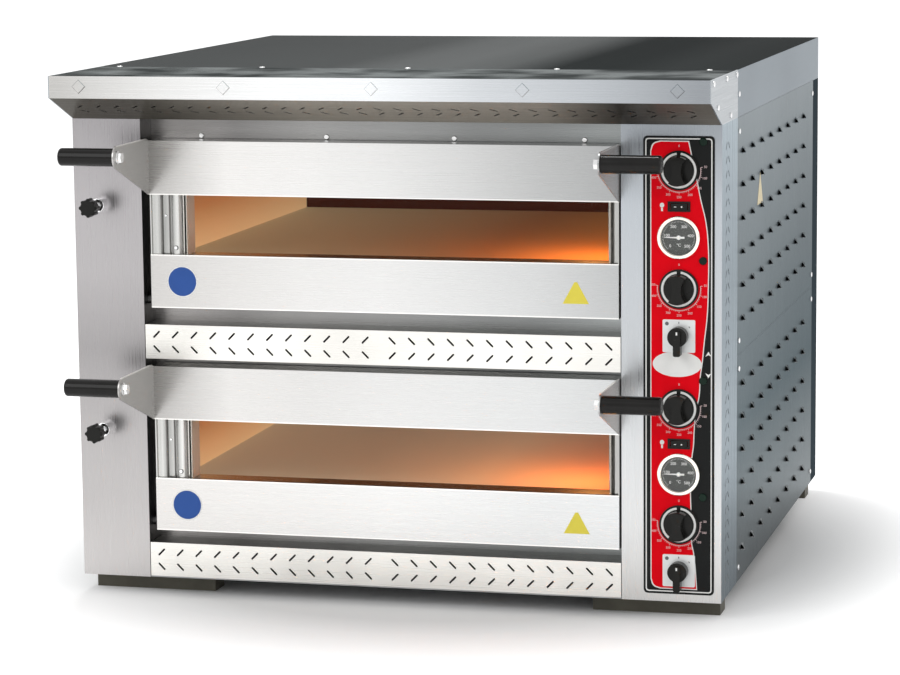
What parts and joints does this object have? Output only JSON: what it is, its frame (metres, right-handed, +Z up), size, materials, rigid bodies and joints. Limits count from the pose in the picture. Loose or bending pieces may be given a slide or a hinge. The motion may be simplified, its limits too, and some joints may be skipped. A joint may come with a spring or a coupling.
{
  "type": "countertop double-deck electric pizza oven",
  "caption": "Double-deck electric countertop pizza oven with glazed drop-down doors, front hood, side louvres, steam dampers and a column of rotary controls.",
  "frame": {"origin": "middle of the whole oven's footprint, at the underside of the feet", "axes": "+X to the right of the oven as its user faces it, +Y to the back, +Z up"},
  "size_m": [0.942, 1.112, 0.752],
  "materials": {
    "front_steel": "brushed stainless steel",
    "panel_steel": "brushed stainless steel, side and top sheets",
    "bright_steel": "bright stainless steel",
    "galvanised_steel": "galvanised sheet",
    "aluminised_steel": "aluminised sheet, heat stained",
    "foot_coat": "matt dark coating",
    "stone": "refractory stone",
    "wool": "mineral wool",
    "seal_braid": "glass fibre braid",
    "element": "oxidised heating element sheath",
    "glass": "heat resistant glass",
    "lamp_glass": "ribbed lamp glass",
    "pilot_green": "translucent dark green",
    "panel_black": "printed sheet, black border",
    "knob_black": "moulded black plastic",
    "grip_black": "heat resistant black plastic",
    "switch_plate": "satin plate",
    "needle_white": "white",
    "terminal": "white ceramic",
    "gland_black": "nylon",
    "chrome": "polished chrome"
  },
  "bodies": {
    "casing": {"base_tray": "galvanised_steel", "foot_blocks": "foot_coat", "front_column_left": "front_steel", "front_column_right": "front_steel", "hood": "front_steel", "hood_cheeks": "panel_steel", "top_panel": "panel_steel", "side_panels_upper": "panel_steel", "side_panels_lower": "panel_steel", "rear_panel": "galvanised_steel", "vent_strips": "front_steel", "chamber_frames": "front_steel", "chamber_liners": "aluminised_steel", "chamber_insulation": "wool", "deck_shelves": "galvanised_steel", "hearth_stones": "stone", "heating_elements": "element", "flue_ducts": "aluminised_steel", "door_seals": "seal_braid", "hinge_pins": "bright_steel", "damper_sleeves": "chrome", "chamber_lamps": "lamp_glass", "control_panel": "panel_black", "thermostats": "galvanised_steel", "cam_switches": "switch_plate", "rocker_housings": "knob_black", "thermometer_cases": "bright_steel", "thermometer_glasses": "glass", "pilot_lamps": "pilot_green", "casing_screws": "bright_steel", "terminal_block": "terminal", "cable_gland": "gland_black"},
    "lower_door": {"lower_door_top_band": "front_steel", "lower_door_bottom_band": "front_steel", "lower_door_pan": "bright_steel", "lower_door_glass": "glass", "lower_door_insulation": "wool", "lower_door_grips": "grip_black", "lower_door_bolts": "bright_steel"},
    "lower_top_thermostat_knob": {"lower_top_thermostat_knob": "knob_black"},
    "lower_floor_thermostat_knob": {"lower_floor_thermostat_knob": "knob_black"},
    "lower_cam_switch_knob": {"lower_cam_switch_knob": "knob_black"},
    "lower_lamp_rocker": {"lower_lamp_rocker": "knob_black"},
    "lower_thermometer_needle": {"lower_thermometer_needle": "needle_white"},
    "lower_damper": {"lower_damper_knob": "knob_black", "lower_damper_rod": "bright_steel"},
    "upper_door": {"upper_door_top_band": "front_steel", "upper_door_bottom_band": "front_steel", "upper_door_pan": "bright_steel", "upper_door_glass": "glass", "upper_door_insulation": "wool", "upper_door_grips": "grip_black", "upper_door_bolts": "bright_steel"},
    "upper_top_thermostat_knob": {"upper_top_thermostat_knob": "knob_black"},
    "upper_floor_thermostat_knob": {"upper_floor_thermostat_knob": "knob_black"},
    "upper_cam_switch_knob": {"upper_cam_switch_knob": "knob_black"},
    "upper_lamp_rocker": {"upper_lamp_rocker": "knob_black"},
    "upper_thermometer_needle": {"upper_thermometer_needle": "needle_white"},
    "upper_damper": {"upper_damper_knob": "knob_black", "upper_damper_rod": "bright_steel"}
  },
  "joints": [
    {"name": "lower_door_hinge", "type": "hinge", "parent": "casing", "child": "lower_door", "pos_m": [0, -0.392, 0.104], "axis": [1, 0, 0], "range_deg": [0, 70]},
    {"name": "lower_floor_thermostat_turn", "type": "hinge", "parent": "casing", "child": "lower_floor_thermostat_knob", "pos_m": [0.4065, -0.4175, 0.1342], "axis": [0, 1, 0], "range_deg": [0, 300]},
    {"name": "lower_top_thermostat_turn", "type": "hinge", "parent": "casing", "child": "lower_top_thermostat_knob", "pos_m": [0.4065, -0.4175, 0.2959], "axis": [0, 1, 0], "range_deg": [0, 300]},
    {"name": "lower_cam_switch_turn", "type": "hinge", "parent": "casing", "child": "lower_cam_switch_knob", "pos_m": [0.4065, -0.4195, 0.0695], "axis": [0, 1, 0], "range_deg": [0, 270]},
    {"name": "lower_lamp_rocker_tilt", "type": "hinge", "parent": "casing", "child": "lower_lamp_rocker", "pos_m": [0.4065, -0.4165, 0.2467], "axis": [0, 0, 1], "range_deg": [0, 16]},
    {"name": "lower_thermometer_turn", "type": "hinge", "parent": "casing", "child": "lower_thermometer_needle", "pos_m": [0.4065, -0.4217, 0.2047], "axis": [0, 1, 0], "range_deg": [-45, 225]},
    {"name": "lower_damper_slide", "type": "slide", "parent": "casing", "child": "lower_damper", "axis": [0, -1, 0], "range_m": [0, 0.04]},
    {"name": "upper_door_hinge", "type": "hinge", "parent": "casing", "child": "upper_door", "pos_m": [0, -0.392, 0.426], "axis": [1, 0, 0], "range_deg": [0, 70]},
    {"name": "upper_floor_thermostat_turn", "type": "hinge", "parent": "casing", "child": "upper_floor_thermostat_knob", "pos_m": [0.4065, -0.4175, 0.4607], "axis": [0, 1, 0], "range_deg": [0, 300]},
    {"name": "upper_top_thermostat_turn", "type": "hinge", "parent": "casing", "child": "upper_top_thermostat_knob", "pos_m": [0.4065, -0.4175, 0.6224], "axis": [0, 1, 0], "range_deg": [0, 300]},
    {"name": "upper_cam_switch_turn", "type": "hinge", "parent": "casing", "child": "upper_cam_switch_knob", "pos_m": [0.4065, -0.4195, 0.396], "axis": [0, 1, 0], "range_deg": [0, 270]},
    {"name": "upper_lamp_rocker_tilt", "type": "hinge", "parent": "casing", "child": "upper_lamp_rocker", "pos_m": [0.4065, -0.4165, 0.5732], "axis": [0, 0, 1], "range_deg": [0, 16]},
    {"name": "upper_thermometer_turn", "type": "hinge", "parent": "casing", "child": "upper_thermometer_needle", "pos_m": [0.4065, -0.4217, 0.5312], "axis": [0, 1, 0], "range_deg": [-45, 225]},
    {"name": "upper_damper_slide", "type": "slide", "parent": "casing", "child": "upper_damper", "axis": [0, -1, 0], "range_m": [0, 0.04]}
  ]
}
